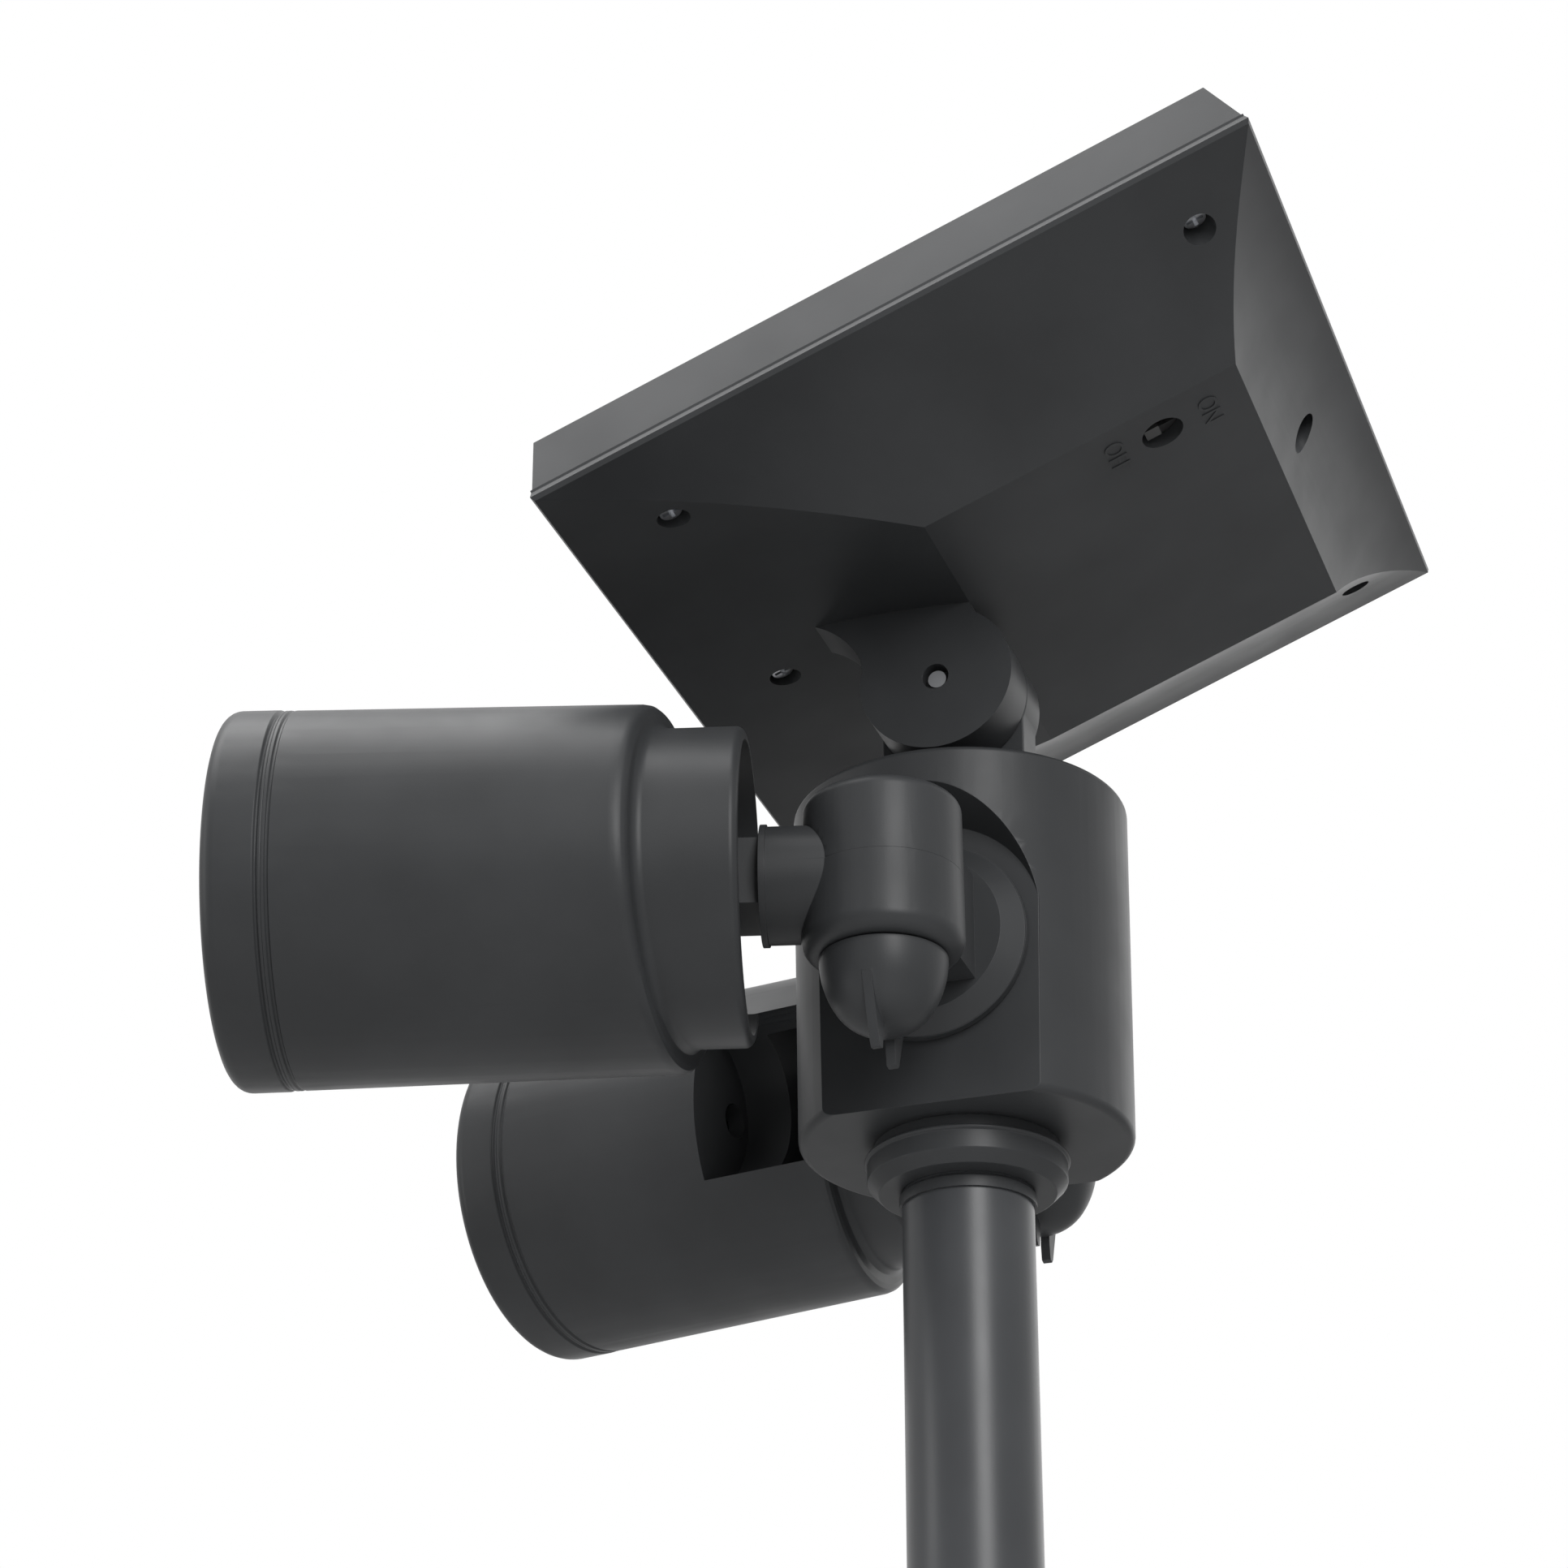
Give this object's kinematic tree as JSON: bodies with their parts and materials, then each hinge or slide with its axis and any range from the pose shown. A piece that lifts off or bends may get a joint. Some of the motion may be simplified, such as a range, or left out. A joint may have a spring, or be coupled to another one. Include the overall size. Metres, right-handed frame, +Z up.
{
  "type": "solar garden spotlight",
  "caption": "Solar garden spotlight on a ground stake: a tilting solar panel over a round hub with two adjustable lamps on swivel arms.",
  "frame": {"origin": "on the pole axis at soil level, where the disc of the ground spike rests on the soil", "axes": "+Z up the pole, -Y the way the lamps point, +X towards lamp 1; the panel hinge runs along X"},
  "size_m": [0.1716, 0.1569, 0.5783],
  "materials": {
    "housing": "fine-grained moulded charcoal plastic, semi-matt",
    "pole_tube": "satin black coated steel tube",
    "steel": "bright zinc-plated screws",
    "seal": "soft black rubber",
    "backsheet": "white laminate",
    "cell": "dark blue silicon cells",
    "solar_glass": "clear flat glass",
    "battery_wrap": "shrink sleeve",
    "black_trim": "plain black plastic",
    "board": "green lacquered circuit board",
    "lens": "clear moulded front lens",
    "reflector": "metallised plastic",
    "led": "yellow phosphor"
  },
  "bodies": {
    "stake": {"ground_spike": "housing", "pole": "pole_tube", "pole_ring": "housing"},
    "head": {"hub_body": "housing", "pole_socket": "housing", "socket_ring": "housing", "tilt_post": "housing", "lid_screws": "steel", "hinge_washer": "steel"},
    "panel": {"panel_back": "housing", "panel_frame": "housing", "panel_gasket": "seal", "solar_backsheet": "backsheet", "solar_cells": "cell", "solar_glass": "solar_glass", "battery": "battery_wrap", "battery_holder": "black_trim", "control_board": "board", "board_screws": "steel", "switch_body": "black_trim", "panel_screws": "steel", "tilt_ear": "housing", "hinge_bolt": "steel"},
    "switch": {"switch_slider": "black_trim"},
    "arm_1": {"arm_1": "housing", "arm_clip_1": "steel"},
    "knuckle_1": {"knuckle_base_1": "housing", "knuckle_cap_1": "housing", "clamp_nut_1": "steel"},
    "knob_1": {"wing_knob_1": "housing", "knob_bolt_1": "steel"},
    "lamp_1": {"lamp_body_1": "housing", "bezel_1": "housing", "lens_1": "lens", "lens_seal_1": "seal", "reflector_1": "reflector", "led_board_1": "board", "led_chips_1": "led", "fold_pin_1": "steel"},
    "arm_2": {"arm_2": "housing", "arm_clip_2": "steel"},
    "knuckle_2": {"knuckle_base_2": "housing", "knuckle_cap_2": "housing", "clamp_nut_2": "steel"},
    "knob_2": {"wing_knob_2": "housing", "knob_bolt_2": "steel"},
    "lamp_2": {"lamp_body_2": "housing", "bezel_2": "housing", "lens_2": "lens", "lens_seal_2": "seal", "reflector_2": "reflector", "led_board_2": "board", "led_chips_2": "led", "fold_pin_2": "steel"}
  },
  "joints": [
    {"name": "head_turn", "type": "hinge", "parent": "stake", "child": "head", "pos_m": [0, 0, 0.323], "axis": [0, 0, 1], "continuous": true},
    {"name": "panel_tilt", "type": "hinge", "parent": "head", "child": "panel", "pos_m": [0, 0, 0.3698], "axis": [1, 0, 0], "range_deg": [-20, 20]},
    {"name": "switch_slide", "type": "slide", "parent": "panel", "child": "switch", "axis": [0, 0.9314, 0.3639], "range_m": [0, 0.0026]},
    {"name": "arm_roll_1", "type": "hinge", "parent": "head", "child": "arm_1", "pos_m": [0.022, 0, 0.323], "axis": [1, 0, 0], "range_deg": [-12, 90]},
    {"name": "knuckle_pan_1", "type": "hinge", "parent": "arm_1", "child": "knuckle_1", "pos_m": [0.04, 0, 0.323], "axis": [0, 0, 1], "range_deg": [-5, 30]},
    {"name": "lamp_fold_1", "type": "hinge", "parent": "knuckle_1", "child": "lamp_1", "pos_m": [0.04796, -0.031, 0.323], "axis": [0, 0, -1], "range_deg": [0, 22]},
    {"name": "knob_turn_1", "type": "hinge", "parent": "knuckle_1", "child": "knob_1", "pos_m": [0.04, 0, 0.323], "axis": [0, 0, 1], "continuous": true},
    {"name": "arm_roll_2", "type": "hinge", "parent": "head", "child": "arm_2", "pos_m": [-0.022, 0, 0.323], "axis": [1, 0, 0], "range_deg": [-12, 90]},
    {"name": "knuckle_pan_2", "type": "hinge", "parent": "arm_2", "child": "knuckle_2", "pos_m": [-0.04, 0, 0.323], "axis": [0, 0, -1], "range_deg": [-5, 30]},
    {"name": "lamp_fold_2", "type": "hinge", "parent": "knuckle_2", "child": "lamp_2", "pos_m": [-0.04627, -0.03138, 0.323], "axis": [0, 0, 1], "range_deg": [0, 22]},
    {"name": "knob_turn_2", "type": "hinge", "parent": "knuckle_2", "child": "knob_2", "pos_m": [-0.04, 0, 0.323], "axis": [0, 0, 1], "continuous": true}
  ]
}
